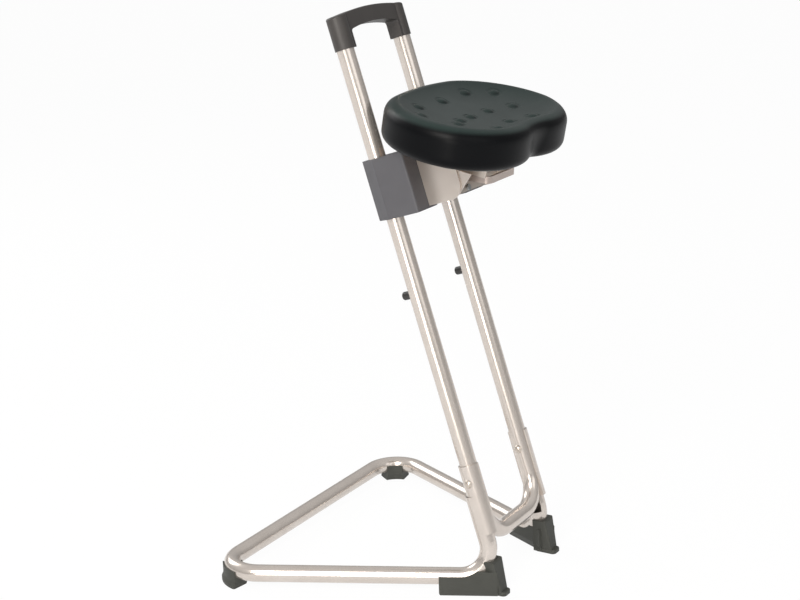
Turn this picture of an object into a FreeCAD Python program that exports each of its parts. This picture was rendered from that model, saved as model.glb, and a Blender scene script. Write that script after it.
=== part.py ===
import FreeCAD, Part
import math
import os

# Perch stool: two leaning uprights on a bent tube base, with a saddle seat on a sliding carriage.
# Millimetres. +Z is up, the sitter faces -Y, and the stool is symmetric about X = 0.
# Names with right and left are the sitter's own: right is on the -X side.

Vector = FreeCAD.Vector
ORIGIN = Vector(0, 0, 0)
X_AXIS = Vector(1, 0, 0)
Y_AXIS = Vector(0, 1, 0)
Z_AXIS = Vector(0, 0, 1)

# Tubes
tube_od = 25.0
tube_wall = 1.5
close_fit = 0.05
slide_fit = 0.08
clearance = 0.3

# Uprights: one tube bent into a U, leaning to the rear
lean_deg = 17.17
upright_spacing = 149.8
upright_top = 838.0
crossbar_along = 84.0
crossbar_bend = 45.0

# Base: one tube bent into legs, side rails and a rear bar
rail_height = 24.0
rear_bar_back = 389.8
rail_splay = 0.475
front_bend = 41.0
rear_bend = 45.0
leg_out = 3.6
leg_back = 3.8
leg_top = 150.0
cup_bottom = 92.0
cup_top = 195.0
cup_wall = 2.4
cup_gap = 0.2
cup_wrap = 3.0

# Rivets that hold the base to the uprights
rivet_along = 169.5
rivet_d = 7.0
rivet_head_d = 12.5
rivet_head_h = 3.6

# Carrying handle
socket_od = 28.6
socket_bottom = 799.8
handle_top = 852.5
arch_top_radius = 540.0
grip_height = 22.6
arch_under_radius = 330.0
grip_depth = 21.0
grip_round = 4.5

# Stop pegs at the back of the uprights
peg_along = 448.4
peg_d = 12.0
peg_reach = 11.0
peg_shank_d = 7.0
peg_shank_length = 9.0
peg_round = 2.0

# Feet: snap-on shoes that grip the tube a little over half way up
foot_half_width = 14.5
foot_sole_in = 8.6
foot_sole_height = 12.0
foot_grip = 2.0
foot_round = 3.0
shoe_length = 84.0
shoe_height = 50.5
shoe_front = -5.5
shoe_lip = 4.0
shoe_lip_height = 6.0
shoe_top_front = 9.5
toe_inner = 69.5
toe_outer = 90.0
toe_round = 6.0
rear_foot_half_angle = 23.0
rear_foot_flare = 2.5
rear_foot_flare_height = 5.0

# Carriage side covers: moulded housings round each upright, which set the carriage's height
cover_bottom = 559.5
cover_height = 86.0
cover_wall = 2.4
cover_out = 18.1
cover_in = 34.9
cover_front = 52.0
cover_rear = 26.0
cover_facet_in = 17.0
cover_facet_front = 1.6
cover_round = 3.0

# Guide sleeves and bushes inside the covers
sleeve_wall = 1.5
bush_wall = 1.2
sleeve_length = 25.0
bush_flange = 1.0

# Cheek plates and the parts between them
plate = 2.5
cheek_gap = 0.4
cheek_front = 109.0
cheek_lift = 2.5
cheek_corner = 21.0
cheek_rear_cut = 22.0
gusset_plate = 2.0
web_front = 101.0
web_lift = 7.5
web_height = 13.0
gusset_tip = 128.5
gusset_tip_lift = 30.0
gusset_rear = 88.0
gusset_below_seat = 24.0
web_screw_d = 5.0
web_screw_x = 32.0
web_screw_up = 5.0

# Seat plane and seat
seat_slope_deg = 11.31
seat_lift = 63.2940
seat_out = 118.4318
seat_half_width = 154.5
seat_rear = 108.0
seat_front = 98.0
seat_thickness = 55.0
rear_radius = 420.0
rear_corner_radius = 62.0
side_radius = 145.0
front_corner_radius = 60.0
lobe_radius = 110.0
lobe_spread = 50.0
notch_top = 4.0
notch_bottom = 10.0
rim_round = 16.0
under_round = 16.0
dish_depth = 7.0
nub_d = 15.0
nub_height = 3.0
board_half_width = 96.0
board_length = 130.0
board_corner = 20.0
board_thickness = 9.0

# Channel under the seat
channel_half_width = 43.0
channel_depth = 30.0
channel_plate = 2.0
channel_front = 38.4
channel_rear = 56.0

# Seat screws
screw_d = 6.0
screw_head_d = 12.0
screw_head_h = 3.6
screw_x = 28.0
screw_front = 26.0
screw_rear = 42.0
washer_t = 1.2
washer_d = 14.0

# Screws that hold the covers to the anchors
cover_screw_d = 3.5
cover_screw_head_d = 7.0
cover_screw_head_h = 2.2
cover_screw_bite = 8.0

# Release lever under the front of the seat
pivot_out = 40.0
pivot_lift = 53.5
pivot_d = 8.0
bail_half_width = 39.5
bail_plate = 3.5
bail_height = 10.0
bail_reach = 109.0
bail_drop_deg = 21.3
bail_corner = 9.0
bail_eye_d = 18.0
finger_width = 10.0
finger_reach = 12.0
finger_height = 7.0

# Lock plates that jam on the uprights
lock_lift = 40.5
lock_thickness = 4.0
lock_tilt_deg = 3.0
lock_hole_gap = 0.45
lock_rear = 20.5
lock_front = 29.0
lock_out = 15.2
lock_in = 25.0
lock_hinge_back = 19.5
anchor_thickness = 4.4
anchor_slot = 6.4
anchor_lap = 8.0
spring_od = 8.0
spring_wire = 1.2
spring_turns = 6
spring_out = 21.0
spring_in = 19.8
spring_shelf = 2.0

tube_r = tube_od / 2
half_spacing = upright_spacing / 2
lean = math.radians(lean_deg)
seat_slope = math.radians(seat_slope_deg)
cover_top = cover_bottom + cover_height
cheek_bottom = cover_bottom + cheek_lift
web_bottom = cover_bottom + web_lift
gusset_tip_along = cover_bottom + gusset_tip_lift
pivot_along = cover_bottom + pivot_lift
lock_along = cover_bottom + lock_lift
seat_along = cover_bottom + seat_lift
sleeve_gap = cover_wall + bush_flange + clearance
window_low = cover_bottom + sleeve_gap + sleeve_length
window_high = cover_top - sleeve_gap - sleeve_length

nodes = {}


def lean_back(shape):
    """Turn a shape built round vertical uprights into its leaning place."""
    leaning = shape.copy()
    leaning.rotate(ORIGIN, X_AXIS, -lean_deg)
    return leaning


def seat_place(shape):
    """Move a shape built on a level seat underside to the sloping seat's place."""
    placed = shape.copy()
    placed.rotate(ORIGIN, X_AXIS, seat_slope_deg)
    placed.translate(spot(0, seat_along, seat_out))
    return placed


def mirrored(shape):
    """The same piece on the other side of the stool."""
    return shape.mirror(ORIGIN, X_AXIS)


def spot(x, along, out):
    """A point by its side position, its height along the uprights and its distance in front of them."""
    y = along * math.sin(lean) - out * math.cos(lean)
    z = along * math.cos(lean) + out * math.sin(lean)
    return Vector(x, y, z)


def box(x0, x1, y0, y1, z0, z1):
    return Part.makeBox(x1 - x0, y1 - y0, z1 - z0, Vector(x0, y0, z0))


def prism(points, direction):
    """A straight-sided solid from its corner points."""
    loop = Part.makePolygon(points + [points[0]])
    return Part.Face(loop).extrude(direction)


def side_plate(profile, x0, thickness):
    """A plate that stands fore and aft, from (out, along) corners, built round vertical uprights."""
    corners = [Vector(x0, -out, along) for out, along in profile]
    return prism(corners, Vector(thickness, 0, 0))


def round_edges(solid, radius, wanted):
    """Fillet the edges that the test picks."""
    edges = [edge for edge in solid.Edges if wanted(edge)]
    return solid.makeFillet(radius, edges)


def is_along(edge, axis):
    if len(edge.Vertexes) != 2:
        return False
    run = edge.Vertexes[1].Point - edge.Vertexes[0].Point
    return run.Length > 1e-6 and run.normalize().cross(axis).Length < 1e-6


def bent_path(points, radii):
    """Straight runs joined by tangent arcs, one radius for each inner point."""
    edges = []
    start = points[0]
    for index, radius in enumerate(radii):
        corner = points[index + 1]
        back = (points[index] - corner).normalize()
        ahead = (points[index + 2] - corner).normalize()
        half_angle = back.getAngle(ahead) / 2
        trim = radius / math.tan(half_angle)
        arc_in = corner + back * trim
        arc_out = corner + ahead * trim
        bisector = (back + ahead).normalize()
        middle = corner + bisector * (radius / math.sin(half_angle) - radius)
        edges.append(Part.LineSegment(start, arc_in).toShape())
        edges.append(Part.Arc(arc_in, middle, arc_out).toShape())
        start = arc_out
    edges.append(Part.LineSegment(start, points[-1]).toShape())
    return Part.Wire(edges)


def swept(path, radius):
    """A round bar along a path."""
    first = path.OrderedVertexes[0].Point
    second = path.OrderedEdges[0].tangentAt(path.OrderedEdges[0].FirstParameter)
    ring = Part.Wire([Part.makeCircle(radius, first, second)])
    return path.makePipeShell([ring], True, True)


def upright_path():
    right = -half_spacing
    return bent_path(
        [
            spot(right, upright_top, 0),
            spot(right, crossbar_along, 0),
            spot(-right, crossbar_along, 0),
            spot(-right, upright_top, 0),
        ],
        [crossbar_bend, crossbar_bend],
    )


# Where the leg's line meets the level of the rails
leg_x = half_spacing + leg_out
leg_foot_along = (rail_height + leg_back * math.sin(lean)) / math.cos(lean)
leg_foot = spot(-leg_x, leg_foot_along, -leg_back)
rear_half_width = leg_x + rail_splay * (rear_bar_back - leg_foot.y)


def base_path():
    leg_end = spot(-leg_x, leg_top, -leg_back)
    rear_corner = Vector(-rear_half_width, rear_bar_back, rail_height)
    right_side = [leg_end, leg_foot, rear_corner]
    left_side = [Vector(-p.x, p.y, p.z) for p in reversed(right_side)]
    return bent_path(right_side + left_side, [front_bend, rear_bend, rear_bend, front_bend])


def make_uprights():
    path = upright_path()
    tube = swept(path, tube_r).cut(swept(path, tube_r - tube_wall))
    across = Part.makeCylinder(
        rivet_d / 2 + close_fit,
        upright_spacing + 2 * tube_od,
        spot(-half_spacing - tube_od, rivet_along, 0),
        X_AXIS,
    )
    back = spot(0, 0, -1)
    for side in (-half_spacing, half_spacing):
        hole = Part.makeCylinder(peg_shank_d / 2 + close_fit, tube_od, spot(side, peg_along, 0), back)
        tube = tube.cut(hole)
    return tube.cut(across)


def make_base():
    path = base_path()
    tube = swept(path, tube_r)
    cup_r = tube_r + cup_gap + cup_wall
    for side in (-half_spacing, half_spacing):
        shell = Part.makeCylinder(cup_r, cup_top - cup_bottom, spot(side, cup_bottom, 0), spot(0, 1, 0))
        tube = tube.fuse(shell)
    tube = tube.cut(swept(path, tube_r - tube_wall))
    tube = tube.cut(swept(upright_path(), tube_r + cup_gap))
    reach = half_spacing - cup_wrap
    between = lean_back(box(-reach, reach, -2 * tube_od, 2 * tube_od, cup_bottom - tube_od, cup_top + tube_od))
    tube = tube.cut(between)
    across = Part.makeCylinder(
        rivet_d / 2 + close_fit,
        upright_spacing + 4 * tube_od,
        spot(-half_spacing - 2 * tube_od, rivet_along, 0),
        X_AXIS,
    )
    return tube.cut(across)


def make_rivet():
    """A domed rivet through the right cup and upright, with a head at each end."""
    outer_x = -half_spacing - tube_r - cup_gap - cup_wall
    inner_x = -half_spacing + tube_r
    shank = Part.makeCylinder(rivet_d / 2, inner_x - outer_x, spot(outer_x, rivet_along, 0), X_AXIS)
    dome_r = (rivet_head_h ** 2 + (rivet_head_d / 2) ** 2) / (2 * rivet_head_h)
    for seat_x, way in ((outer_x, -1), (inner_x, 1)):
        dome = Part.makeSphere(dome_r, spot(seat_x + way * (rivet_head_h - dome_r), rivet_along, 0))
        head_room = Part.makeCylinder(dome_r, 2 * dome_r, spot(seat_x, rivet_along, 0), Vector(way, 0, 0))
        shank = shank.fuse(dome.common(head_room))
    return shank


def make_handle():
    """Two sockets and an arched grip in one moulding, built round vertical uprights."""
    socket_r = socket_od / 2
    sockets = []
    for side in (-half_spacing, half_spacing):
        sockets.append(
            Part.makeCylinder(socket_r, handle_top + 5 - socket_bottom, Vector(side, 0, socket_bottom))
        )
    span = half_spacing + socket_r
    grip = box(-half_spacing, half_spacing, -grip_depth / 2, grip_depth / 2, socket_bottom, handle_top + 5)
    under_centre = handle_top - grip_height - arch_under_radius
    under = Part.makeCylinder(arch_under_radius, 2 * tube_od, Vector(0, -tube_od, under_centre), Y_AXIS)
    gap_half = half_spacing - socket_r
    mouth = box(-gap_half, gap_half, -tube_od, tube_od, socket_bottom - 1, handle_top)
    opening = mouth.common(under)
    corner_edges = [edge for edge in opening.Edges if is_along(edge, Y_AXIS) and edge.CenterOfMass.z > socket_bottom]
    opening = opening.makeFillet(grip_round, corner_edges)
    body = grip.cut(opening)
    for socket in sockets:
        body = body.fuse(socket)
    top_centre = Vector(0, -2 * tube_od, handle_top - arch_top_radius)
    arch = Part.makeCylinder(arch_top_radius, 4 * tube_od, top_centre, Y_AXIS)
    keep = box(-span - 1, span + 1, -2 * tube_od, 2 * tube_od, socket_bottom, handle_top + 5)
    body = body.common(arch.common(keep))
    body = body.removeSplitter()
    lowest_top = handle_top - (arch_top_radius - math.sqrt(arch_top_radius ** 2 - span ** 2)) - 0.5
    top_edges = [edge for edge in body.Edges if edge.BoundBox.ZMin > lowest_top]
    body = body.makeFillet(grip_round / 2, top_edges)
    for side in (-half_spacing, half_spacing):
        bore = Part.makeCylinder(tube_r + close_fit, upright_top - socket_bottom, Vector(side, 0, socket_bottom))
        body = body.cut(bore)
    return lean_back(body)


def make_stop_peg():
    """A plug with a thick head behind the upright, built round a vertical upright at X = 0."""
    head = Part.makeCylinder(peg_d / 2, peg_reach + tube_wall, Vector(0, tube_r - tube_wall, peg_along), Y_AXIS)
    head = round_edges(head, peg_round, lambda edge: edge.CenterOfMass.y > tube_r + peg_reach - 1)
    tube_hole = Part.makeCylinder(tube_r, 2 * tube_od, Vector(0, 0, peg_along - tube_od))
    shank_start = Vector(0, tube_r - peg_shank_length / 2, peg_along)
    shank = Part.makeCylinder(peg_shank_d / 2, peg_shank_length / 2 + 1, shank_start, Y_AXIS)
    return lean_back(head.cut(tube_hole).fuse(shank))


def shoe_opening():
    """The room over the right shoe: all that lies inside the front bend, past the grip line."""
    rail = Vector(-rail_splay, 1, 0).normalize()
    leg = spot(0, 1, 0).normalize()
    inward = (rail + leg).normalize()
    corner = leg_foot + inward * (foot_grip / math.sin(rail.getAngle(leg) / 2))
    far = 4 * shoe_length
    line = bent_path([corner + rail * far, corner, corner + leg * far], [front_bend - foot_grip])
    closing = Part.makeLine(corner + leg * far, corner + rail * far)
    region = Part.Face(Part.Wire(line.Edges + [closing]))
    across = rail.cross(leg).normalize() * shoe_length
    region.translate(across * -0.5)
    return region.extrude(across)


def shoe_rail_part():
    """The right shoe's cradle along the rail."""
    section = [
        Vector(-foot_half_width, 0, 0),
        Vector(foot_sole_in, 0, 0),
        Vector(foot_half_width, 0, foot_sole_height),
        Vector(foot_half_width, 0, rail_height + tube_r),
        Vector(-foot_half_width, 0, rail_height + tube_r),
    ]
    part = prism(section, Vector(0, shoe_length, 0))
    part = round_edges(part, foot_round, lambda edge: edge.CenterOfMass.y > shoe_length - 0.1)
    part.rotate(ORIGIN, Z_AXIS, math.degrees(math.atan(rail_splay)))
    part.translate(Vector(leg_foot.x, leg_foot.y, 0))
    return part


def shoe_toe_part():
    """The right shoe's upright toe, with a lip round its sole."""
    toe_rear = leg_foot.y + tube_r
    sole = box(-toe_outer, -toe_inner, shoe_front, toe_rear, 0, shoe_lip_height)
    sole = round_edges(sole, toe_round, lambda edge: is_along(edge, Z_AXIS) and edge.CenterOfMass.y < 0)
    sole = round_edges(sole, foot_round / 2, lambda edge: edge.CenterOfMass.z > shoe_lip_height - 0.1)
    bend_x = leg_foot.x - toe_round / 2
    levels = (
        (0, shoe_front + shoe_lip, -toe_outer + 1, -toe_inner - 1),
        (shoe_height, shoe_top_front, bend_x - foot_half_width, bend_x + foot_half_width),
    )
    wires = []
    for height, front, outer, inner in levels:
        loop = Part.makePolygon(
            [
                Vector(outer, front, height),
                Vector(inner, front, height),
                Vector(inner, toe_rear + toe_round, height),
                Vector(outer, toe_rear + toe_round, height),
                Vector(outer, front, height),
            ]
        )
        wires.append(loop)
    toe = Part.makeLoft(wires, True, True)
    front_edges = [edge for edge in toe.Edges if edge.CenterOfMass.y < leg_foot.y and edge.CenterOfMass.z > 1]
    toe = toe.makeFillet(foot_round, front_edges)
    return sole.fuse(toe)


def make_front_shoe():
    """The right front shoe, open over the tube from its grip line up."""
    shoe = shoe_rail_part().fuse(shoe_toe_part())
    shoe = shoe.cut(swept(base_path(), tube_r + close_fit))
    return shoe.cut(shoe_opening()).removeSplitter()


def make_rear_foot():
    """A flared pad under the right rear bend, curved with the tube."""
    rail = Vector(leg_foot.x + rear_half_width, leg_foot.y - rear_bar_back, 0).normalize()
    bisector = (rail + X_AXIS).normalize()
    half_corner = rail.getAngle(X_AXIS) / 2
    corner = Vector(-rear_half_width, rear_bar_back, 0)
    centre = corner + bisector * (rear_bend / math.sin(half_corner))
    section = [
        Vector(rear_bend - foot_sole_in, 0, 0),
        Vector(rear_bend + foot_half_width + rear_foot_flare, 0, 0),
        Vector(rear_bend + foot_half_width + rear_foot_flare, 0, rear_foot_flare_height),
        Vector(rear_bend + foot_half_width, 0, 2 * rear_foot_flare_height),
        Vector(rear_bend + foot_half_width, 0, rail_height + foot_grip),
        Vector(rear_bend - foot_half_width, 0, rail_height + foot_grip),
        Vector(rear_bend - foot_half_width, 0, foot_sole_height),
    ]
    face = Part.Face(Part.makePolygon(section + [section[0]]))
    face.rotate(ORIGIN, Z_AXIS, -rear_foot_half_angle)
    pad = face.revolve(ORIGIN, Z_AXIS, 2 * rear_foot_half_angle)
    pad = round_edges(
        pad, foot_round, lambda edge: is_along(edge, Z_AXIS) and edge.CenterOfMass.x > 0 and edge.Length < 6
    )
    outward = math.degrees(math.atan2(-bisector.y, -bisector.x))
    pad.rotate(ORIGIN, Z_AXIS, outward)
    pad.translate(centre)
    return pad.cut(swept(base_path(), tube_r + close_fit))


def cover_outline(inset):
    """The right cover's section as (x, y) corners round its upright, drawn in by a wall."""
    out = cover_out - inset
    front = cover_front - inset
    rear = cover_rear - inset
    inner = cover_in - inset
    facet_run = cover_facet_front + cover_rear
    facet_length = math.hypot(cover_facet_in, facet_run)
    facet_shift = inset * (facet_length - cover_facet_in) / facet_run
    corner_shift = inset * (facet_length - facet_run) / cover_facet_in
    return [
        (-half_spacing - out, -cover_facet_front + facet_shift - inset),
        (-half_spacing - cover_out + cover_facet_in + inset - corner_shift, rear),
        (-half_spacing + inner, rear),
        (-half_spacing + inner, -front),
        (-half_spacing - out, -front),
    ]


def cover_room(gap):
    """The space inside the right cover, kept off its walls by a gap."""
    inset = cover_wall + gap
    corners = [Vector(x, y, cover_bottom + cover_wall) for x, y in cover_outline(inset)]
    return prism(corners, Vector(0, 0, cover_height - 2 * cover_wall))


def make_cover():
    """The right housing: a closed shell with holes for the upright, the cheek and the pivot."""
    outer = prism([Vector(x, y, cover_bottom) for x, y in cover_outline(0)], Vector(0, 0, cover_height))
    outer = round_edges(outer, cover_round, lambda edge: is_along(edge, Z_AXIS))
    shell = outer.cut(cover_room(0))
    way = Part.makeCylinder(tube_r + clearance, 2 * cover_height, Vector(-half_spacing, 0, cover_bottom - 20))
    shell = shell.cut(way)
    cheek_x = cheek_outer_x()
    slot_rear = -cover_front + 2 * cover_wall
    slot = box(
        cheek_x - 0.1,
        cheek_x + plate + 0.1,
        -cover_front - 1,
        slot_rear,
        cheek_bottom - 0.1,
        cover_top - cover_wall,
    )
    shell = shell.cut(slot)
    pivot_way = Part.makeCylinder(
        pivot_d / 2 + 1.5, cover_in, Vector(-half_spacing + tube_r, -pivot_out, pivot_along), X_AXIS
    )
    return lean_back(cut_cover_screw_holes(shell.cut(pivot_way)))


def cheek_outer_x():
    """The outer face of the right cheek plate, just inboard of the upright."""
    return -half_spacing + tube_r + cheek_gap


def seat_line(out):
    """Height along the uprights of the seat's underside, at a distance in front of them."""
    rise = math.tan(seat_slope)
    centre = spot(0, seat_along, seat_out)
    level = centre.z - rise * centre.y
    return (level - out * (math.sin(lean) + rise * math.cos(lean))) / (math.cos(lean) - rise * math.sin(lean))


def make_cheek():
    """The right cheek: a plate with a rounded front corner and a flange folded under the seat."""
    x0 = cheek_outer_x()
    rear = tube_r + bush_wall + sleeve_wall - 5
    in_cover_top = cover_top - cover_wall - 1
    flange_out = cover_front + clearance + 1
    profile = [
        (rear, cheek_bottom + clearance),
        (cheek_front, cheek_bottom + clearance),
        (cheek_front, seat_line(cheek_front)),
        (flange_out, seat_line(flange_out)),
        (flange_out, in_cover_top),
        (rear, in_cover_top),
    ]
    body = side_plate(profile, x0, plate)
    body = round_edges(
        body,
        cheek_corner,
        lambda edge: is_along(edge, X_AXIS)
        and edge.CenterOfMass.y < -cheek_front + 1
        and edge.CenterOfMass.z < cheek_bottom + 1,
    )
    sleeve_r = tube_r + bush_wall + sleeve_wall
    axis_start = Vector(-half_spacing, 0, cover_bottom)
    body = body.cut(Part.makeCylinder(sleeve_r, cover_height, axis_start))
    window = box(x0 - 1, x0 + plate + 1, -lock_front - 2, 0, window_low, window_high)
    body = body.cut(window)
    shelf_x = -half_spacing + spring_in
    shelf_half = spring_od / 2
    shelf = box(
        x0,
        shelf_x + shelf_half,
        -spring_out - shelf_half,
        -spring_out + shelf_half,
        window_low - spring_shelf,
        window_low,
    )
    body = body.fuse(shelf)
    hole = Part.makeCylinder(pivot_d / 2 + slide_fit, 3 * plate, Vector(x0 - plate, -pivot_out, pivot_along), X_AXIS)
    body = body.cut(hole)
    flange = box(
        x0, -channel_half_width, cheek_seat_front(), channel_rear, -plate, 0
    )
    return lean_back(body).fuse(seat_place(flange)).removeSplitter()


def cheek_seat_front():
    """Where the cheek's front edge meets the seat's underside, along the seat from its centre."""
    point = spot(0, seat_line(cheek_front), cheek_front)
    return (point.y - spot(0, seat_along, seat_out).y) / math.cos(seat_slope) + 0.5


def make_sleeve(start):
    """A steel ring welded to the cheek, round a plastic bush."""
    outer_r = tube_r + bush_wall + sleeve_wall
    base = Vector(-half_spacing, 0, start)
    ring = Part.makeCylinder(outer_r, sleeve_length, base)
    ring = ring.cut(Part.makeCylinder(tube_r + bush_wall, sleeve_length, base))
    return lean_back(ring.common(cover_room(clearance)))


def make_bush(start, flange_at):
    """A bush in a sleeve, with a thin flange at its outer end."""
    base = Vector(-half_spacing, 0, start)
    body = Part.makeCylinder(tube_r + bush_wall, sleeve_length, base)
    flange_base = Vector(-half_spacing, 0, flange_at)
    body = body.fuse(Part.makeCylinder(tube_r + bush_wall + 1, bush_flange, flange_base))
    through = Part.makeCylinder(tube_r + slide_fit, 4 * sleeve_length, Vector(-half_spacing, 0, start - sleeve_length))
    return lean_back(body.cut(through).common(cover_room(clearance)))


def make_front_web():
    """The cross web behind the lever, with a slanted gusset at each end."""
    x0 = cheek_outer_x() + plate
    web = box(x0, -x0, -web_front, -web_front + gusset_plate, web_bottom, web_bottom + web_height)
    fall = math.tan(lean + seat_slope)
    drop = gusset_below_seat / math.cos(lean + seat_slope)
    profile = [
        (gusset_rear, web_bottom),
        (web_front, web_bottom),
        (gusset_tip, gusset_tip_along),
        (web_front, gusset_tip_along + (gusset_tip - web_front) * fall),
        (gusset_rear, seat_line(gusset_rear) - drop),
    ]
    gusset = side_plate(profile, x0, gusset_plate)
    frame = web.fuse(gusset).fuse(mirrored(gusset)).removeSplitter()
    hole_start = Vector(-web_screw_x, -web_front - 1, web_bottom + web_screw_up)
    hole = Part.makeCylinder(web_screw_d / 2 + close_fit, gusset_plate + 2, hole_start, Y_AXIS)
    return lean_back(frame.cut(hole))


def make_web_screw():
    """The lever's stop screw, with its hexagon head under the web's front."""
    seat = Vector(-web_screw_x, -web_front, web_bottom + web_screw_up)
    head = Part.makeCylinder(web_screw_d - 0.5, 3.0, seat, Vector(0, -1, 0))
    shank = Part.makeCylinder(web_screw_d / 2, gusset_plate + 6, seat, Y_AXIS)
    return lean_back(head.fuse(shank))


def make_channel():
    """The inverted channel under the seat, open to the front."""
    half = channel_half_width
    length_front = -channel_front
    outer = box(-half, half, length_front, channel_rear, -channel_depth, 0)
    inner_half = half - channel_plate
    room = box(-inner_half, inner_half, length_front - 1, channel_rear + 1, -channel_depth - 1, -channel_plate)
    channel = outer.cut(room)
    for x, y in screw_places():
        channel = channel.cut(Part.makeCylinder(screw_d / 2 + close_fit, channel_depth, Vector(x, y, -channel_depth)))
    return seat_place(channel)


def screw_places():
    return [(x, y) for x in (-screw_x, screw_x) for y in (-screw_front, screw_rear)]


def make_seat_screws():
    """Screws up through the channel into the seat board."""
    screws = []
    length = channel_plate + board_thickness - 1
    for x, y in screw_places():
        head_top = -channel_plate - washer_t
        head = Part.makeCylinder(screw_head_d / 2, screw_head_h, Vector(x, y, head_top - screw_head_h))
        head = round_edges(head, 1.2, lambda edge: edge.CenterOfMass.z < head_top - screw_head_h + 0.1)
        shank = Part.makeCylinder(screw_d / 2, length + washer_t, Vector(x, y, head_top))
        screws.append(head.fuse(shank))
    return seat_place(Part.makeCompound(screws))


def make_seat_washers():
    washers = []
    for x, y in screw_places():
        base = Vector(x, y, -channel_plate - washer_t)
        ring = Part.makeCylinder(washer_d / 2, washer_t, base)
        washers.append(ring.cut(Part.makeCylinder(screw_d / 2 + close_fit, washer_t, base)))
    return seat_place(Part.makeCompound(washers))


def make_seat_board():
    """The stiff board moulded into the seat, with its screw holes."""
    board = box(-board_half_width, board_half_width, -board_length / 2, board_length / 2, 0, board_thickness)
    board = round_edges(board, board_corner, lambda edge: is_along(edge, Z_AXIS))
    for x, y in screw_places():
        board = board.cut(Part.makeCylinder(screw_d / 2, board_thickness, Vector(x, y, 0)))
    return board


def circle_meet(centre_a, radius_a, centre_b, radius_b, side):
    """One crossing point of two circles in the XY plane."""
    gap = centre_b - centre_a
    distance = gap.Length
    along = (distance ** 2 + radius_a ** 2 - radius_b ** 2) / (2 * distance)
    off = math.sqrt(max(radius_a ** 2 - along ** 2, 0.0))
    unit = gap / distance
    normal = Vector(-unit.y, unit.x, 0)
    return centre_a + unit * along + normal * (off * side)


def seat_ring(height, inset, notch, scale=1.0):
    """The seat's outline at one level: arcs that meet smoothly, with a notch at the front."""
    rear_c = Vector(0, seat_rear - rear_radius, 0)
    side_c = Vector(seat_half_width - side_radius, 0, 0)
    lobe_c = Vector(lobe_spread, lobe_radius - seat_front, 0)
    rear_corner_c = circle_meet(
        rear_c, rear_radius - rear_corner_radius, side_c, side_radius - rear_corner_radius, -1
    )
    front_corner_c = circle_meet(
        side_c, side_radius - front_corner_radius, lobe_c, lobe_radius - front_corner_radius, -1
    )
    notch_radius = (lobe_spread ** 2 + notch ** 2) / (2 * notch) - lobe_radius
    notch_c = Vector(0, -seat_front + notch - notch_radius, 0)

    def on_circle(centre, radius, towards):
        return centre + (towards - centre).normalize() * radius

    def beyond(centre, radius, other):
        return centre + (centre - other).normalize() * radius

    rear_mid = rear_c + Vector(0, rear_radius - inset, 0)
    rear_end = beyond(rear_corner_c, rear_corner_radius - inset, rear_c)
    side_start = beyond(rear_corner_c, rear_corner_radius - inset, side_c)
    side_end = beyond(front_corner_c, front_corner_radius - inset, side_c)
    lobe_start = beyond(front_corner_c, front_corner_radius - inset, lobe_c)
    lobe_end = on_circle(lobe_c, lobe_radius - inset, notch_c)
    notch_mid = notch_c + Vector(0, notch_radius + inset, 0)

    def middle(centre, radius, start, end):
        return centre + ((start - centre).normalize() + (end - centre).normalize()).normalize() * radius

    half = [
        (rear_end, middle(rear_corner_c, rear_corner_radius - inset, rear_end, side_start), side_start),
        (side_start, middle(side_c, side_radius - inset, side_start, side_end), side_end),
        (side_end, middle(front_corner_c, front_corner_radius - inset, side_end, lobe_start), lobe_start),
        (lobe_start, middle(lobe_c, lobe_radius - inset, lobe_start, lobe_end), lobe_end),
    ]
    flip = lambda p: Vector(-p.x, p.y, 0)
    runs = list(half)
    runs.append((lobe_end, notch_mid, flip(lobe_end)))
    runs += [(flip(c), flip(b), flip(a)) for a, b, c in reversed(half)]
    runs.append((flip(rear_end), rear_mid, rear_end))

    def lift(p):
        return Vector(p.x * scale, p.y * scale, height)

    return Part.Wire([Part.Arc(lift(a), lift(b), lift(c)).toShape() for a, b, c in runs])


def dish_height(scale):
    """The top surface's height inside the rim, from the outline's scale at that point."""
    return seat_thickness - dish_depth * (1 - scale ** 2 / rim_scale ** 2)


rim_scale = 0.9
nub_places = [
    (-65, 58),
    (65, 58),
    (0, 57),
    (-100, 30),
    (100, 30),
    (-78, -12),
    (78, -12),
    (-56, -4),
    (-25, -3),
    (25, -3),
    (-50, -58),
    (0, -48),
    (50, -58),
]


def make_seat():
    """The moulded seat: rounded rim, dished top with nubs, and a notch at the front centre."""
    rings = []
    quarter = [0, 22.5, 45, 67.5, 90]
    for turn in quarter:
        swing = math.radians(turn)
        inset = under_round * (1 - math.sin(swing))
        height = under_round * (1 - math.cos(swing))
        rings.append((height, inset))
    for turn in quarter:
        swing = math.radians(turn)
        inset = rim_round * (1 - math.cos(swing))
        height = seat_thickness - rim_round * (1 - math.sin(swing))
        rings.append((height, inset))
    wires = []
    for height, inset in rings:
        share = height / seat_thickness
        notch = notch_bottom + (notch_top - notch_bottom) * share
        wires.append(seat_ring(height, inset, notch))
    for step in (0.88, 0.7, 0.5, 0.3):
        wires.append(seat_ring(dish_height(step * rim_scale / 0.9), rim_round, notch_top, step))
    body = Part.makeLoft(wires, True, True)
    nub_radius = ((nub_d / 2) ** 2 + nub_height ** 2) / (2 * nub_height)
    for x, y in nub_places:
        reach = math.hypot(x / seat_half_width, y / seat_rear)
        top = dish_height(min(reach, 1.0)) + nub_height
        body = body.fuse(Part.makeSphere(nub_radius, Vector(x, y, top - nub_radius)))
    pocket = box(-board_half_width, board_half_width, -board_length / 2, board_length / 2, 0, board_thickness)
    pocket = round_edges(pocket, board_corner, lambda edge: is_along(edge, Z_AXIS))
    return body.cut(pocket)


def lever_place(shape):
    """Turn a lever piece built level and forward of the pivot into its place."""
    placed = shape.copy()
    placed.rotate(ORIGIN, X_AXIS, bail_drop_deg)
    placed.translate(Vector(0, -pivot_out, pivot_along))
    return lean_back(placed)


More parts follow.
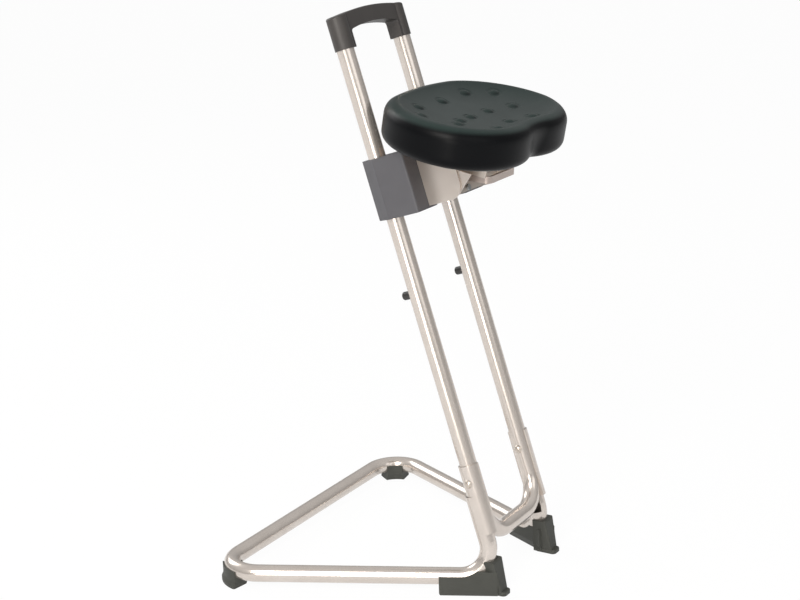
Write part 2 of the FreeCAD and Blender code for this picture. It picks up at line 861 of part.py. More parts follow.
def make_bail():
    """The lever's loop: two arms with eyes on the pivot rod and a cross bar under the seat's notch."""
    half = bail_half_width
    outer = box(-half, half, -bail_reach, 0, -bail_height / 2, bail_height / 2)
    outer = round_edges(outer, bail_corner, lambda edge: is_along(edge, Z_AXIS) and edge.CenterOfMass.y < -1)
    inner_half = half - bail_plate
    room = box(-inner_half, inner_half, -bail_reach + bail_plate, 1, -bail_height, bail_height)
    inner_round = bail_corner - bail_plate
    room = round_edges(room, inner_round, lambda edge: is_along(edge, Z_AXIS) and edge.CenterOfMass.y < -1)
    loop = outer.cut(room)
    for x in (-half, inner_half):
        eye = Part.makeCylinder(bail_eye_d / 2, bail_plate, Vector(x, 0, 0), X_AXIS)
        loop = loop.fuse(eye)
    bore = Part.makeCylinder(pivot_d / 2, 2 * half, Vector(-half, 0, 0), X_AXIS)
    return lever_place(loop.cut(bore))


def finger_span():
    """The side positions of the right finger's two faces."""
    outer = -half_spacing - finger_width / 2
    return outer, outer + finger_width


def make_pivot_rod():
    outer, inner = finger_span()
    rod = Part.makeCylinder(pivot_d / 2, -2 * outer, Vector(outer, 0, 0), X_AXIS)
    return lever_place(rod)


def make_fingers():
    """Cams on the rod's ends that press the lock plates down."""
    outer, inner = finger_span()
    hub_r = pivot_d / 2 + 2.5
    pieces = []
    for x in (outer, -inner):
        hub = Part.makeCylinder(hub_r, finger_width, Vector(x, 0, 0), X_AXIS)
        tip_along = lock_top_at(pivot_out - finger_reach) + clearance + finger_height / 2
        tip = Vector(x, -(pivot_out - finger_reach), tip_along)
        nose = Part.makeCylinder(finger_height / 2, finger_width, tip, X_AXIS)
        start = Vector(x, -pivot_out, pivot_along)
        run = tip - start
        lean_out = Vector(0, -run.z, run.y).normalize()
        arm = prism(
            [
                start + lean_out * (finger_height / 2),
                tip + lean_out * (finger_height / 2),
                tip - lean_out * (finger_height / 2),
                start - lean_out * (finger_height / 2),
            ],
            Vector(finger_width, 0, 0),
        )
        hub.translate(Vector(0, -pivot_out, pivot_along))
        bore = Part.makeCylinder(pivot_d / 2, finger_width, start, X_AXIS)
        pieces.append(lean_back(hub.fuse(arm).fuse(nose).cut(bore)))
    return Part.makeCompound(pieces)


def lock_top_at(out):
    """The tilted lock plate's top surface, at a distance in front of the uprights."""
    return lock_along + (out + lock_hinge_back) * math.tan(math.radians(lock_tilt_deg)) + lock_thickness / 2


def make_lock_plate():
    """The right lock plate: a hole round the upright, tilted so that its edges bite."""
    plate_box = box(
        -half_spacing - lock_out,
        -half_spacing + lock_in,
        -lock_front,
        lock_rear,
        lock_along - lock_thickness / 2,
        lock_along + lock_thickness / 2,
    )
    plate_box = plate_box.common(cover_room(clearance))
    hole = Part.makeCylinder(
        tube_r + lock_hole_gap, 4 * lock_thickness, Vector(-half_spacing, 0, lock_along - 2 * lock_thickness)
    )
    plate_box = plate_box.cut(hole)
    plate_box.rotate(Vector(0, lock_hinge_back, lock_along), X_AXIS, -lock_tilt_deg)
    return lean_back(plate_box)


def make_anchor():
    """The right anchor: a bar between the sleeves with a slot for the lock plate's rear edge."""
    bar_front = tube_r + bush_wall + sleeve_wall + clearance
    bar = box(
        -half_spacing + 1,
        -half_spacing + lock_in,
        bar_front,
        cover_rear - cover_wall - clearance,
        window_low - anchor_lap,
        window_high + anchor_lap,
    )
    slot = box(
        -half_spacing,
        -half_spacing + lock_in + 1,
        bar_front - 1,
        lock_rear + clearance + 0.2,
        lock_along - anchor_slot / 2,
        lock_along + anchor_slot / 2,
    )
    return lean_back(cut_cover_screw_holes(bar.cut(slot)))


def make_cover_screws():
    """Screws through the right cover's inner wall into the anchor."""
    wall_x = -half_spacing + cover_in
    anchor_x = -half_spacing + lock_in
    screws = []
    for along in cover_screw_heights():
        seat = Vector(wall_x, lock_hinge_back, along)
        head = Part.makeCylinder(cover_screw_head_d / 2, cover_screw_head_h, seat, X_AXIS)
        length = wall_x - anchor_x + cover_screw_bite
        shank = Part.makeCylinder(cover_screw_d / 2, length, seat, Vector(-1, 0, 0))
        screws.append(head.fuse(shank))
    return lean_back(Part.makeCompound(screws))


def cover_screw_heights():
    return [window_low - anchor_lap / 2, window_high + anchor_lap / 2]


def cut_cover_screw_holes(shape):
    """Holes for the cover screws, in a piece built round vertical uprights."""
    for along in cover_screw_heights():
        start = Vector(-half_spacing + cover_in + 1, lock_hinge_back, along)
        length = cover_in - lock_in + cover_screw_bite + 2
        shape = shape.cut(Part.makeCylinder(cover_screw_d / 2 + close_fit, length, start, Vector(-1, 0, 0)))
    return shape


def make_spring():
    """The right spring: a coil that holds the lock plate tilted."""
    foot = window_low + clearance
    top = lock_top_at(spring_out) - lock_thickness - clearance - spring_wire
    height = top - foot - spring_wire
    coil_r = (spring_od - spring_wire) / 2
    helix = Part.makeHelix(height / spring_turns, height, coil_r)
    ring = Part.Wire([Part.makeCircle(spring_wire / 2, Vector(coil_r, 0, 0), Y_AXIS)])
    coil = Part.Wire(helix.Edges).makePipeShell([ring], True, True)
    coil.translate(Vector(-half_spacing + spring_in, -spring_out, foot + spring_wire))
    return lean_back(coil)


def both_sides(shape):
    return Part.makeCompound([shape, mirrored(shape)])


def pair(name, shape):
    """Store a right piece and its mirror image as two nodes."""
    nodes[name + "_right"] = shape
    nodes[name + "_left"] = mirrored(shape)


nodes["upright_frame"] = make_uprights()
nodes["base_frame"] = make_base()
nodes["frame_rivets"] = both_sides(make_rivet())
nodes["carrying_handle"] = make_handle()
peg = make_stop_peg()
peg_right = peg.copy()
peg_right.translate(Vector(-half_spacing, 0, 0))
pair("stop_peg", peg_right)
pair("front_shoe", make_front_shoe())
pair("rear_foot", make_rear_foot())
pair("side_cover", make_cover())
pair("cheek_plate", make_cheek())
lower_start = cover_bottom + sleeve_gap
upper_start = cover_top - sleeve_gap - sleeve_length
nodes["lower_sleeves"] = both_sides(make_sleeve(lower_start))
nodes["upper_sleeves"] = both_sides(make_sleeve(upper_start))
nodes["lower_bushes"] = both_sides(make_bush(lower_start, lower_start - bush_flange))
nodes["upper_bushes"] = both_sides(make_bush(upper_start, upper_start + sleeve_length))
nodes["front_web"] = make_front_web()
nodes["lever_stop_screw"] = make_web_screw()
nodes["seat_channel"] = make_channel()
nodes["seat_board"] = seat_place(make_seat_board())
nodes["seat_screws"] = make_seat_screws()
nodes["seat_washers"] = make_seat_washers()
nodes["seat_cushion"] = seat_place(make_seat())
nodes["release_lever"] = make_bail()
nodes["lever_pivot_rod"] = make_pivot_rod()
nodes["release_fingers"] = make_fingers()
pair("lock_plate", make_lock_plate())
pair("lock_anchor", make_anchor())
nodes["lock_springs"] = both_sides(make_spring())
nodes["cover_screws"] = both_sides(make_cover_screws())

# The origin is the middle of the stool's footprint, on the floor
extent = FreeCAD.BoundBox()
for shape in nodes.values():
    extent.add(shape.optimalBoundingBox())
origin_back = (extent.YMin + extent.YMax) / 2

os.makedirs("parts", exist_ok=True)
for name, shape in nodes.items():
    placed = shape.copy()
    placed.translate(Vector(0, -origin_back, 0))
    placed.exportStep("parts/" + name + ".step")
    print(name, len(shape.Solids), "valid" if shape.isValid() else "BROKEN", round(shape.Volume / 1000, 2))
print("origin behind the uprights' foot", round(origin_back, 3))
print("size", round(extent.XLength, 1), round(extent.YLength, 1), round(extent.ZLength, 1), round(extent.ZMin, 3))
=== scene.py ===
# %% [markdown]
# # A perch stool, dressed for a studio photograph
# The stool's steel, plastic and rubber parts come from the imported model, with their places
# and joints settled. This file adds what the eye reads next: the moulded seat with its nubs,
# a finish for each part, the light and the camera. Everything is in metres, and the sitter
# faces -Y.

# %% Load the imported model
import math

import bpy
import bmesh
from mathutils import Matrix, Vector


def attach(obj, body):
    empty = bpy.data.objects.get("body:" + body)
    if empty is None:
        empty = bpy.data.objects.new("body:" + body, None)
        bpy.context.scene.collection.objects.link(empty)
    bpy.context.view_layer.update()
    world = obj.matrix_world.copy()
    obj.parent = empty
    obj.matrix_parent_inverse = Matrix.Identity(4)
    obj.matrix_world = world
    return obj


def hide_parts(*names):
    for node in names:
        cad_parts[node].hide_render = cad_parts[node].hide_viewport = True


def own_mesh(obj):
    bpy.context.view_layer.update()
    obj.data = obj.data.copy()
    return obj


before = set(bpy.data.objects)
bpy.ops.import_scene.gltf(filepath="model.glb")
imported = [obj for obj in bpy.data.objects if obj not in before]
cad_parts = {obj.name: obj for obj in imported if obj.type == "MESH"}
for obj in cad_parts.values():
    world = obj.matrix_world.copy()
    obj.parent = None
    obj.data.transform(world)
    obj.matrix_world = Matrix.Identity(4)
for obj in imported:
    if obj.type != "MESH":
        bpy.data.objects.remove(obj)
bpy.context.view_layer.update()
MM = 0.001

# %% [markdown]
# A material is a small graph of nodes, and most of the lines that build one say the same
# thing: make a node, set its values, link what feeds it. One helper does all three, so each
# finish below reads as a list of what is on the surface. Colours are written as they look on
# a screen, and one function turns them into the linear values that the renderer counts in.

# %% Colour and node helpers
def screen_colour(code):
    """A colour such as B9B2A6 as four linear numbers."""
    shares = [int(code[i : i + 2], 16) / 255 for i in (0, 2, 4)]
    linear = [s / 12.92 if s <= 0.04045 else ((s + 0.055) / 1.055) ** 2.4 for s in shares]
    return (*linear, 1.0)


def add(tree, kind, values=(), links=(), **settings):
    """One node, with its settings, its plain values and the links that feed it."""
    node = tree.nodes.new(kind)
    for name, value in settings.items():
        setattr(node, name, value)
    for socket, value in values:
        node.inputs[socket].default_value = value
    for socket, source in links:
        tree.links.new(source, node.inputs[socket])
    return node


def blank(name):
    """A new material with only its output node, and that node's tree."""
    material = bpy.data.materials.new(name)
    material.use_nodes = True
    tree = material.node_tree
    tree.nodes.clear()
    return material, tree


def per_mm(size):
    """The scale that makes a pattern repeat about once in this many millimetres."""
    return 1 / (size * MM)


def noise(tree, where, size, detail):
    """Soft random clouds, about one in this many millimetres."""
    values = [("Scale", per_mm(size)), ("Detail", detail)]
    return add(tree, "ShaderNodeTexNoise", values, [("Vector", where)]).outputs["Fac"]


def cells(tree, where, size):
    """Rounded cells, about one in this many millimetres."""
    values, links = [("Scale", per_mm(size))], [("Vector", where)]
    return add(tree, "ShaderNodeTexVoronoi", values, links, feature="SMOOTH_F1").outputs["Distance"]


def two_tones(tree, share, tone, shade):
    """The colour between two tones, by the share that a pattern gives."""
    values = [("A", screen_colour(tone)), ("B", screen_colour(shade))]
    mix = add(tree, "ShaderNodeMix", values, [("Factor", share)], data_type="RGBA")
    return mix.outputs["Result"]


def spread(tree, share, low, high):
    """A number that goes from low to high as the share goes from 0 to 1."""
    values = [("To Min", low), ("To Max", high)]
    return add(tree, "ShaderNodeMapRange", values, [("Value", share)]).outputs["Result"]


def raised(tree, pattern, strength, depth):
    """The bumps that a pattern raises, at most this many millimetres high."""
    values = [("Strength", strength), ("Distance", depth * MM)]
    return add(tree, "ShaderNodeBump", values, [("Height", pattern)]).outputs["Normal"]


def end_with_shader(tree, values, links):
    """The shader and the output that end a material."""
    shader = add(tree, "ShaderNodeBsdfPrincipled", values, links)
    add(tree, "ShaderNodeOutputMaterial", links=[("Surface", shader.outputs["BSDF"])])


print("a grain of 0.5 mm has the scale", per_mm(0.5))

# %% [markdown]
# ## Plated steel
# The tubes and the sheet-metal parts are steel with a satin nickel plate, a warm champagne
# tone. Bending and plating leave the plate slightly cloudy, with faint polishing lines. Three
# things make that look: a metal with medium roughness, a slow change of tone over a few
# centimetres, and a fine grain that breaks the highlight. Grain of 0.3 mm would vanish at
# this distance, so it is drawn at 1.2 mm.

# %% Plated steel
def nickel_plate(name, tone, shade, roughness, grain=1.2, depth=0.04, cloud=45, metallic=0.75):
    """Satin nickel over steel: cloudy in tone and with a fine grain in the polish."""
    material, tree = blank(name)
    where = add(tree, "ShaderNodeTexCoord").outputs["Object"]
    clouds = noise(tree, where, cloud, 4.0)
    clear, clouded = roughness - 0.05, roughness + 0.07
    links = [
        ("Base Color", two_tones(tree, clouds, tone, shade)),
        ("Roughness", spread(tree, clouds, clear, clouded)),
        ("Normal", raised(tree, noise(tree, where, grain, 2.0), 0.25, depth)),
    ]
    end_with_shader(tree, [("Metallic", metallic)], links)
    return material


tube_plate = nickel_plate("satin_nickel_plated_tube", "D6CEC7", "C4BBB3", 0.22)
sheet_plate = nickel_plate("satin_nickel_plated_sheet", "CEC6BE", "BCB2AA", 0.36, grain=1.6)
rivet_plate = nickel_plate("nickel_plated_rivet", "CFC6BC", "B9AEA2", 0.26)
# Painted shade: the flat bar's plate is a darker, pinker copy of the nickel plate, for the shade
# under the seat's front.
painted_shade_bail_plate = nickel_plate("nickel_plated_flat_bar_painted_shade", "B8ACA6", "A3978F", 0.38)
zinc = nickel_plate("zinc_plated_screw_steel", "B4B8BA", "9DA2A4", 0.32, metallic=1.0)
tool_steel = nickel_plate("hardened_plate_steel", "77777A", "626265", 0.40, metallic=1.0)
print("steel finishes", tube_plate.name, sheet_plate.name, zinc.name)

# %% [markdown]
# ## Moulded plastics and rubber
# The covers are ABS and the handle is nylon, both moulded against a spark-eroded tool that
# leaves a fine dull grain. The feet are a softer rubber, duller still and with dust in the
# low places. Each is one colour all through, so only small changes of tone, a grain that
# bumps the surface and a broad soft sheen are needed. The grain of 0.15 mm is drawn at
# 0.9 mm so that it shows.

# %% Moulded plastics and rubber
def moulded(name, tone, shade, roughness, grain, depth, cloud=30, index=1.53):
    """A moulded surface: spark-eroded grain over one colour, with slow changes of tone."""
    material, tree = blank(name)
    where = add(tree, "ShaderNodeTexCoord").outputs["Object"]
    clouds = noise(tree, where, cloud, 5.0)
    rubbed, dusty = roughness - 0.06, roughness + 0.08
    links = [
        ("Base Color", two_tones(tree, clouds, tone, shade)),
        ("Roughness", spread(tree, clouds, rubbed, dusty)),
        ("Normal", raised(tree, cells(tree, where, grain), 0.35, depth)),
    ]
    end_with_shader(tree, [("IOR", index)], links)
    return material


cover_abs = moulded("moulded_grey_abs", "505054", "48474B", 0.55, 0.9, 0.06)
grip_nylon = moulded("moulded_black_nylon", "3B3735", "322F2D", 0.46, 1.0, 0.05)
peg_nylon = moulded("moulded_nylon_plug", "2B2A29", "232221", 0.42, 0.9, 0.04)
foot_rubber = moulded(
    "moulded_thermoplastic_rubber", "3E3F3A", "343530", 0.62, 1.2, 0.08, index=1.5
)
bush_acetal = moulded("moulded_white_acetal", "DEDBD2", "D2CEC4", 0.40, 0.9, 0.03, index=1.48)
print("moulded finishes", cover_abs.name, grip_nylon.name, foot_rubber.name)

# %% [markdown]
# ## Plywood board
# The board inside the seat is birch plywood, seen only from below. Its face grain runs from
# side to side in lines 2 to 3 mm apart, so a wave pattern bent by noise draws it.

# %% Plywood board
def birch_plywood():
    """Rotary-cut birch veneer with its grain along X."""
    material, tree = blank("sanded_birch_plywood")
    where = add(tree, "ShaderNodeTexCoord").outputs["Object"]
    line_stretch = (0.12, 1.0, 1.0)
    drawn = add(tree, "ShaderNodeMapping", [("Scale", line_stretch)], [("Vector", where)])
    grain = noise(tree, drawn.outputs["Vector"], 2.5, 3.0)
    links = [
        ("Base Color", two_tones(tree, grain, "C79F6A", "A67C4B")),
        ("Normal", raised(tree, grain, 0.2, 0.05)),
    ]
    end_with_shader(tree, [("Roughness", 0.6), ("IOR", 1.5)], links)
    return material


plywood = birch_plywood()
print("board finish", plywood.name)

# %% [markdown]
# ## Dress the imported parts
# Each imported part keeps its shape, so it only needs its finish. A table from the start of a
# part's name to its material is short, and the print shows that none was missed.

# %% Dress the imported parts
finishes = {
    "upright_frame": tube_plate,
    "base_frame": tube_plate,
    "frame_rivets": rivet_plate,
    "carrying_handle": grip_nylon,
    "stop_peg": peg_nylon,
    "front_shoe": foot_rubber,
    "rear_foot": foot_rubber,
    "side_cover": cover_abs,
    "cheek_plate": sheet_plate,
    "lower_sleeves": sheet_plate,
    "upper_sleeves": sheet_plate,
    "lower_bushes": bush_acetal,
    "upper_bushes": bush_acetal,
    "front_web": sheet_plate,
    "lever_stop_screw": zinc,
    "seat_channel": sheet_plate,
    "seat_board": plywood,
    "seat_screws": zinc,
    "seat_washers": zinc,
    "release_lever": painted_shade_bail_plate,
    "lever_pivot_rod": zinc,
    "release_fingers": tool_steel,
    "lock_plate": tool_steel,
    "lock_anchor": sheet_plate,
    "lock_springs": tool_steel,
    "cover_screws": zinc,
}
dressed = []
for node_name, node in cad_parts.items():
    for start, finish in finishes.items():
        if node_name.startswith(start):
            node.data.materials.clear()
            node.data.materials.append(finish)
            dressed.append(node_name)
left_over = sorted(set(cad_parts) - set(dressed))
print("dressed", len(dressed), "left for a new piece", left_over)

# %% [markdown]
# ## The seat
# The seat is foam moulded in one piece with its own tough skin. Its plan is a soft oblong
# with a dip at the front centre, its edge is fully round, and its top is a shallow dish with
# low nubs. A cloth simulation would puff it up, which such a seat never is. Instead its
# outline is built from tangent arcs, as a mould maker would, and rings of that outline are
# stacked up the side and drawn in across the top.

# %% The seat's outline
seat_slope = math.radians(11.31)
seat_origin = Vector((0, -0.109924, 0.6308))
seat_half_width = 154.0
seat_rear = 115.0
seat_front = 96.5
seat_thickness = 56.3
rim_round = 19.0
under_round = 14.0
notch_top = 4.0
notch_bottom = 10.0
outline_points = 360
arc_steps = 40


def circles_meet(centre_a, radius_a, centre_b, radius_b):
    """The crossing of two circles on the right of the line from a to b."""
    gap = centre_b - centre_a
    along = (gap.length**2 + radius_a**2 - radius_b**2) / (2 * gap.length)
    off = math.sqrt(max(radius_a**2 - along**2, 0))
    unit = gap.normalized()
    return centre_a + unit * along + Vector((unit.y, -unit.x)) * off


def seat_outline(inset, notch):
    """Evenly spaced points round the seat in mm, from its rear middle, for one level."""
    rear_radius, corner_radius, side_radius, cheek_radius, lobe_radius = 405, 65, 113, 60, 110
    lobe_x = 50.0
    rear = Vector((0, seat_rear - rear_radius))
    side = Vector((seat_half_width - side_radius, 0))
    lobe = Vector((lobe_x, lobe_radius - seat_front))
    corner = circles_meet(rear, rear_radius - corner_radius, side, side_radius - corner_radius)
    cheek = circles_meet(side, side_radius - cheek_radius, lobe, lobe_radius - cheek_radius)
    dip_radius = (lobe_x**2 + notch**2) / (2 * notch) - lobe_radius
    dip = Vector((0, notch - seat_front - dip_radius))
    arcs = [
        (rear, rear_radius - inset, Vector((0, 1)), corner - rear),
        (corner, corner_radius - inset, corner - rear, corner - side),
        (side, side_radius - inset, corner - side, cheek - side),
        (cheek, cheek_radius - inset, cheek - side, cheek - lobe),
        (lobe, lobe_radius - inset, cheek - lobe, dip - lobe),
        (dip, dip_radius + inset, lobe - dip, Vector((0, 1))),
    ]
    half = []
    for centre, radius, first, last in arcs:
        begin = math.atan2(first.x, first.y)
        turn = math.atan2(last.x, last.y) - begin
        turn = (turn + math.pi) % (2 * math.pi) - math.pi
        for step in range(arc_steps):
            angle = begin + turn * step / arc_steps
            half.append(centre + Vector((math.sin(angle), math.cos(angle))) * radius)
    half.append(Vector((0, notch - seat_front + inset)))
    return evenly(half + [Vector((-p.x, p.y)) for p in reversed(half[1:-1])], outline_points)


def evenly(loop, count):
    """A closed loop of points, spaced evenly along its length."""
    runs = [(b - a).length for a, b in zip(loop, loop[1:] + loop[:1])]
    total = sum(runs)
    spaced = []
    index, passed = 0, 0.0
    for number in range(count):
        target = total * number / count
        while passed + runs[index] < target:
            passed += runs[index]
            index += 1
        share = (target - passed) / runs[index]
        spaced.append(loop[index].lerp(loop[(index + 1) % len(loop)], share))
    return spaced


outline = seat_outline(0, notch_top)
plan_x, plan_y = ([p[axis] for p in outline] for axis in (0, 1))
print("seat plan in mm", round(max(plan_x) * 2), round(max(plan_y) - min(plan_y)))

# %% [markdown]
# The nubs are low domes about as wide as a fingertip, each in a shallow ring-shaped groove
# that catches a dark line. A height for each point of the top, as a mould maker would cut
# it, gives the dish, the domes and the grooves in one pass.

# %% The seat's top
dish_depth = 13.5
nub_radius = 7.5
nub_height = 3.0
groove_width = 3.5
groove_depth = 1.0
nub_places = [
    (-65, 63), (65, 63), (0, 63), (-102, 36), (102, 36), (-78, -8), (78, -8),
    (-57, 1), (-25, 3), (25, 3), (-50, -53), (0, -44), (50, -53),
]


def dish_drop(share):
    """How far the dish lies under the rim: flat in the middle, steeper towards the rim."""
    return dish_depth * (1 - share**4)


def nub_rise(x, y):
    """The nubs and their grooves at one point of the top."""
    rise = 0.0
    for nub_x, nub_y in nub_places:
        off = math.hypot(x - nub_x, y - nub_y)
        if off < nub_radius:
            rise += nub_height * (1 - (off / nub_radius) ** 2)
        elif off < nub_radius + groove_width:
            rise -= groove_depth * math.sin(math.pi * (off - nub_radius) / groove_width)
    return rise


print("dish depth at half way", round(dish_drop(0.5), 1), "nub top", round(nub_rise(0, 63), 1))

# %% [markdown]
# The rings go from the pocket for the board, out under the seat, up the rounded edge and the
# wall, over the rim and in across the dish. Every ring has the same number of points, so the
# faces between two rings are plain quads and shade smoothly.

# %% Build the seat
def build_seat():
    """The moulded seat as one closed mesh, level and centred, in mm."""
    rings = []
    pocket_x, pocket_y, pocket_round, pocket_deep = 96.4, 65.4, 20.0, 9.2
    pocket_back = -4.08
    lip_height, lip_wider, lip_longer = 0.4, 1.005, 1.008
    corner_steps, under_steps, wall_steps, rim_steps, dish_steps = 10, 8, 6, 10, 64
    pocket = []
    for corner_x, corner_y, start in ((1, 1, 0), (1, -1, 90), (-1, -1, 180), (-1, 1, 270)):
        for step in range(corner_steps + 1):
            angle = math.radians(start + 90 * step / corner_steps)
            x = corner_x * (pocket_x - pocket_round) + pocket_round * math.sin(angle)
            y = corner_y * (pocket_y - pocket_round) + pocket_round * math.cos(angle)
            pocket.append(Vector((x, y)))
    pocket = evenly([Vector((0, pocket_y))] + pocket, outline_points)
    pocket = [Vector((p.x, p.y + pocket_back)) for p in pocket]
    rings.append([Vector((p.x, p.y, pocket_deep)) for p in pocket])
    rings.append([Vector((p.x, p.y, lip_height)) for p in pocket])
    rings.append([Vector((p.x * lip_wider, p.y * lip_longer, 0)) for p in pocket])
    for step in range(under_steps + 1):
        angle = math.pi / 2 * step / under_steps
        inset = under_round * (1 - math.sin(angle))
        rings.append(level(under_round * (1 - math.cos(angle)), inset))
    for step in range(1, wall_steps):
        height = under_round + (seat_thickness - rim_round - under_round) * step / wall_steps
        rings.append(level(height, 0))
    for step in range(rim_steps + 1):
        angle = math.pi / 2 * step / rim_steps
        inset = rim_round * (1 - math.cos(angle))
        rings.append(level(seat_thickness - rim_round * (1 - math.sin(angle)), inset))
    rim = rings[-1]
    for step in range(1, dish_steps):
        share = 1 - step / dish_steps
        ring = []
        for p in rim:
            x, y = p.x * share, p.y * share
            ring.append(Vector((x, y, seat_thickness - dish_drop(share) + nub_rise(x, y))))
        rings.append(ring)
    return rings


def level(height, inset):
    """One ring of the wall at a height, drawn in by an inset."""
    notch = notch_bottom + (notch_top - notch_bottom) * height / seat_thickness
    return [Vector((p.x, p.y, height)) for p in seat_outline(inset, notch)]


def mesh_from_rings(name, rings, material):
    """A closed mesh from stacked rings, with a fan at each end, placed on the seat's slope."""
    turned = Matrix.Rotation(seat_slope, 4, "X") @ Matrix.Scale(MM, 4)
    place = Matrix.Translation(seat_origin) @ turned
    shape = bmesh.new()
    rows = [[shape.verts.new(place @ p) for p in ring] for ring in rings]
    count = len(rows[0])
    for low, high in zip(rows, rows[1:]):
        for i in range(count):
            j = (i + 1) % count
            shape.faces.new((low[i], low[j], high[j], high[i]))
    for row, flip in ((rows[0], True), (rows[-1], False)):
        middle = shape.verts.new(sum((v.co for v in row), Vector()) / count)
        for i in range(count):
            j = (i + 1) % count
            shape.faces.new((middle, row[j], row[i]) if flip else (row[i], row[j], middle))
    bmesh.ops.recalc_face_normals(shape, faces=shape.faces)
    mesh = bpy.data.meshes.new(name)
    shape.to_mesh(mesh)
    shape.free()
    for face in mesh.polygons:
        face.use_smooth = True
    mesh.materials.append(material)
    piece = bpy.data.objects.new(name, mesh)
    bpy.context.scene.collection.objects.link(piece)
    return piece


seat_rings = build_seat()
print("rings of the seat", len(seat_rings))

# %% [markdown]
# ## The seat's skin
# Integral-skin polyurethane is foam that packs itself solid against the mould. It comes out
# near black with a satin shine and a fine leather-like grain. The top is painted a lighter
# green-black than the sides as painted light from above, so the colour follows how far the
# surface faces up, and the top also gets more shine. The cells of the grain are about 1 mm
# across, so they can be drawn at real size.

# %% The seat's skin
def foam_skin():
    """Integral-skin polyurethane: satin, with a fine cell grain and a top painted lighter as
    painted light from above.
    """
    material, tree = blank("moulded_polyurethane_skin")
    where = add(tree, "ShaderNodeTexCoord").outputs["Object"]
    rubbed = noise(tree, where, 60, 4.0)
    normal = add(tree, "ShaderNodeNewGeometry").outputs["Normal"]
    facing = add(tree, "ShaderNodeSeparateXYZ", links=[("Vector", normal)])
    # Painted light: the share of how far the surface faces up paints the top lighter and also gives
    # it more shine.
    painted_light_and_shine = add(
        tree,
        "ShaderNodeMapRange",
        interpolation_type="SMOOTHSTEP",
        values=[("From Min", 0.5), ("From Max", 0.85)],
        links=[("Value", facing.outputs["Z"])],
    ).outputs["Result"]
    # Painted light: the top is painted a lighter green-black and the sides near black, for light
    # falling from above.
    painted_lit_top = two_tones(tree, rubbed, "1C2C29", "13211F")
    colour = add(
        tree,
        "ShaderNodeMix",
        data_type="RGBA",
        values=[("A", screen_colour("060709"))],
        links=[("Factor", painted_light_and_shine), ("B", painted_lit_top)],
    )
    links = [
        ("Specular IOR Level", spread(tree, painted_light_and_shine, 0.1, 0.4)),
        ("Base Color", colour.outputs["Result"]),
        ("Roughness", spread(tree, rubbed, 0.34, 0.46)),
        ("Normal", raised(tree, cells(tree, where, 1.1), 0.25, 0.05)),
    ]
    end_with_shader(tree, [("IOR", 1.5)], links)
    return material


seat = mesh_from_rings("moulded_seat", seat_rings, foam_skin())
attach(seat, "carriage")
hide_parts("seat_cushion")
print("seat faces", len(seat.data.polygons))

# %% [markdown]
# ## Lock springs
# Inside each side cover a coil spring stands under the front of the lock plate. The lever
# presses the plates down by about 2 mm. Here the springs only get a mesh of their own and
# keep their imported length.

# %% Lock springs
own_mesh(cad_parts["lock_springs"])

# %% [markdown]
# ## Floor and light
# The photograph has a plain white ground and soft light from the camera's left. A wide floor
# that shows white to the camera and to reflections gives the ground, and still takes a faint
# shadow. Soft lamps light the stool at a level where a colour renders about as it is written.
# A low one gives each tube its bright line, and the room is darker near the horizon than
# overhead, which gives each tube its dark edge.

# %% Floor and light
def studio_floor():
    """A wide white floor that glows for the camera and reflections, and is paper to light."""
    reach, glow_share = 60, 0.95
    shape = bmesh.new()
    bmesh.ops.create_grid(shape, x_segments=1, y_segments=1, size=reach)
    mesh = bpy.data.meshes.new("studio_floor")
    shape.to_mesh(mesh)
    shape.free()
    material, tree = blank("white_studio_paper")
    rays = add(tree, "ShaderNodeLightPath").outputs
    either = rays["Is Camera Ray"]
    for ray in ("Is Glossy Ray", "Is Transmission Ray"):
        pair = [(0, either), (1, rays[ray])]
        either = add(tree, "ShaderNodeMath", links=pair, operation="MAXIMUM").outputs[0]
    share = add(
        tree, "ShaderNodeMath", [(1, glow_share)], [(0, either)], operation="MULTIPLY"
    ).outputs[0]
    paper = add(tree, "ShaderNodeBsdfDiffuse", [("Color", screen_colour("F4F4F4"))])
    glow = add(tree, "ShaderNodeEmission", [("Color", (1, 1, 1, 1)), ("Strength", 1.0)])
    both = add(
        tree,
        "ShaderNodeMixShader",
        links=[(0, share), (1, paper.outputs["BSDF"]), (2, glow.outputs["Emission"])],
    )
    add(tree, "ShaderNodeOutputMaterial", links=[("Surface", both.outputs["Shader"])])
    mesh.materials.append(material)
    floor = bpy.data.objects.new("studio_floor", mesh)
    bpy.context.scene.collection.objects.link(floor)
    return floor


def soft_lamp(name, place, target, size, watts, tone="FFFFFF"):
    """A square area lamp that faces a point."""
    light = bpy.data.lights.new(name, "AREA")
    light.size = size
    light.energy = watts
    light.color = screen_colour(tone)[:3]
    lamp = bpy.data.objects.new(name, light)
    lamp.location = place
    lamp.rotation_mode = "QUATERNION"
    lamp.rotation_quaternion = (Vector(target) - Vector(place)).to_track_quat("-Z", "Y")
    bpy.context.scene.collection.objects.link(lamp)
    return lamp


studio_floor()
middle = (0, 0, 0.45)
soft_lamp("key_lamp", (-2.7, -0.5, 2.3), middle, 1.4, 78, "FFFAF4")
soft_lamp("front_lamp", (-1.2, -2.9, 1.8), middle, 2.0, 14)
soft_lamp("low_lamp", (-2.6, -0.75, 0.55), middle, 0.8, 16, "FFFAF4")
soft_lamp("rear_lamp", (0.4, 2.9, 2.0), middle, 1.6, 30)

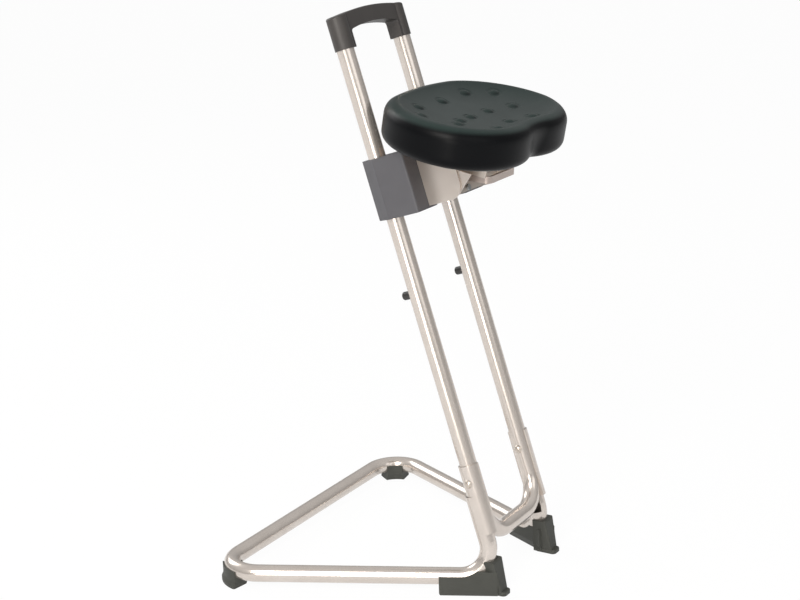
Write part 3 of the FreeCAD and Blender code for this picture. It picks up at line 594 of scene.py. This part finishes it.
world = bpy.data.worlds.new("studio_world")
bpy.context.scene.world = world
world.use_nodes = True
sky_tree = world.node_tree
sky_tree.nodes.clear()
horizon_level, overhead_level, overhead_from = 0.26, 0.62, 0.6
seen = add(sky_tree, "ShaderNodeLightPath")
way = add(sky_tree, "ShaderNodeTexCoord").outputs["Generated"]
height = add(sky_tree, "ShaderNodeSeparateXYZ", links=[("Vector", way)])
room = add(
    sky_tree,
    "ShaderNodeMapRange",
    values=[
        ("From Min", 0.0),
        ("From Max", overhead_from),
        ("To Min", horizon_level),
        ("To Max", overhead_level),
    ],
    links=[("Value", height.outputs["Z"])],
)
tone = add(
    sky_tree,
    "ShaderNodeMix",
    data_type="RGBA",
    values=[("B", (1, 1, 1, 1))],
    links=[("Factor", seen.outputs["Is Camera Ray"]), ("A", room.outputs["Result"])],
)
sky = add(sky_tree, "ShaderNodeBackground", links=[("Color", tone.outputs["Result"])])
add(sky_tree, "ShaderNodeOutputWorld", links=[("Surface", sky.outputs["Background"])])
bpy.context.scene.view_settings.view_transform = "Standard"

# %% [markdown]
# ## Camera
# The photograph was taken from the stool's front right, a little above the seat. The camera's
# place, turn and focal length were solved from the lines of the tubes, so the render lines up
# with it.

# %% Camera
camera_place = Vector((-1.989431, -1.207001, 1.060688))
heading = math.radians(-58.265)
down = math.radians(15.999)
roll = math.radians(-1.986)
level_share = math.cos(down)
forward = Vector(
    (-math.sin(heading) * level_share, math.cos(heading) * level_share, -math.sin(down))
)
level_right = Vector((math.cos(heading), math.sin(heading), 0))
level_up = level_right.cross(forward)
right = level_right * math.cos(roll) + level_up * math.sin(roll)
up = level_up * math.cos(roll) - level_right * math.sin(roll)

lens = bpy.data.cameras.new("photo_camera")
lens.sensor_width = 36
photo_width, focal_length = 800, 1662.185  # both in pixels of the photograph
lens.lens = lens.sensor_width * focal_length / photo_width
camera = bpy.data.objects.new("photo_camera", lens)
turn = Matrix((right, up, -forward)).transposed().to_4x4()
camera.matrix_world = Matrix.Translation(camera_place) @ turn
bpy.context.scene.collection.objects.link(camera)
bpy.context.scene.camera = camera
print("lens in mm", round(lens.lens, 1))
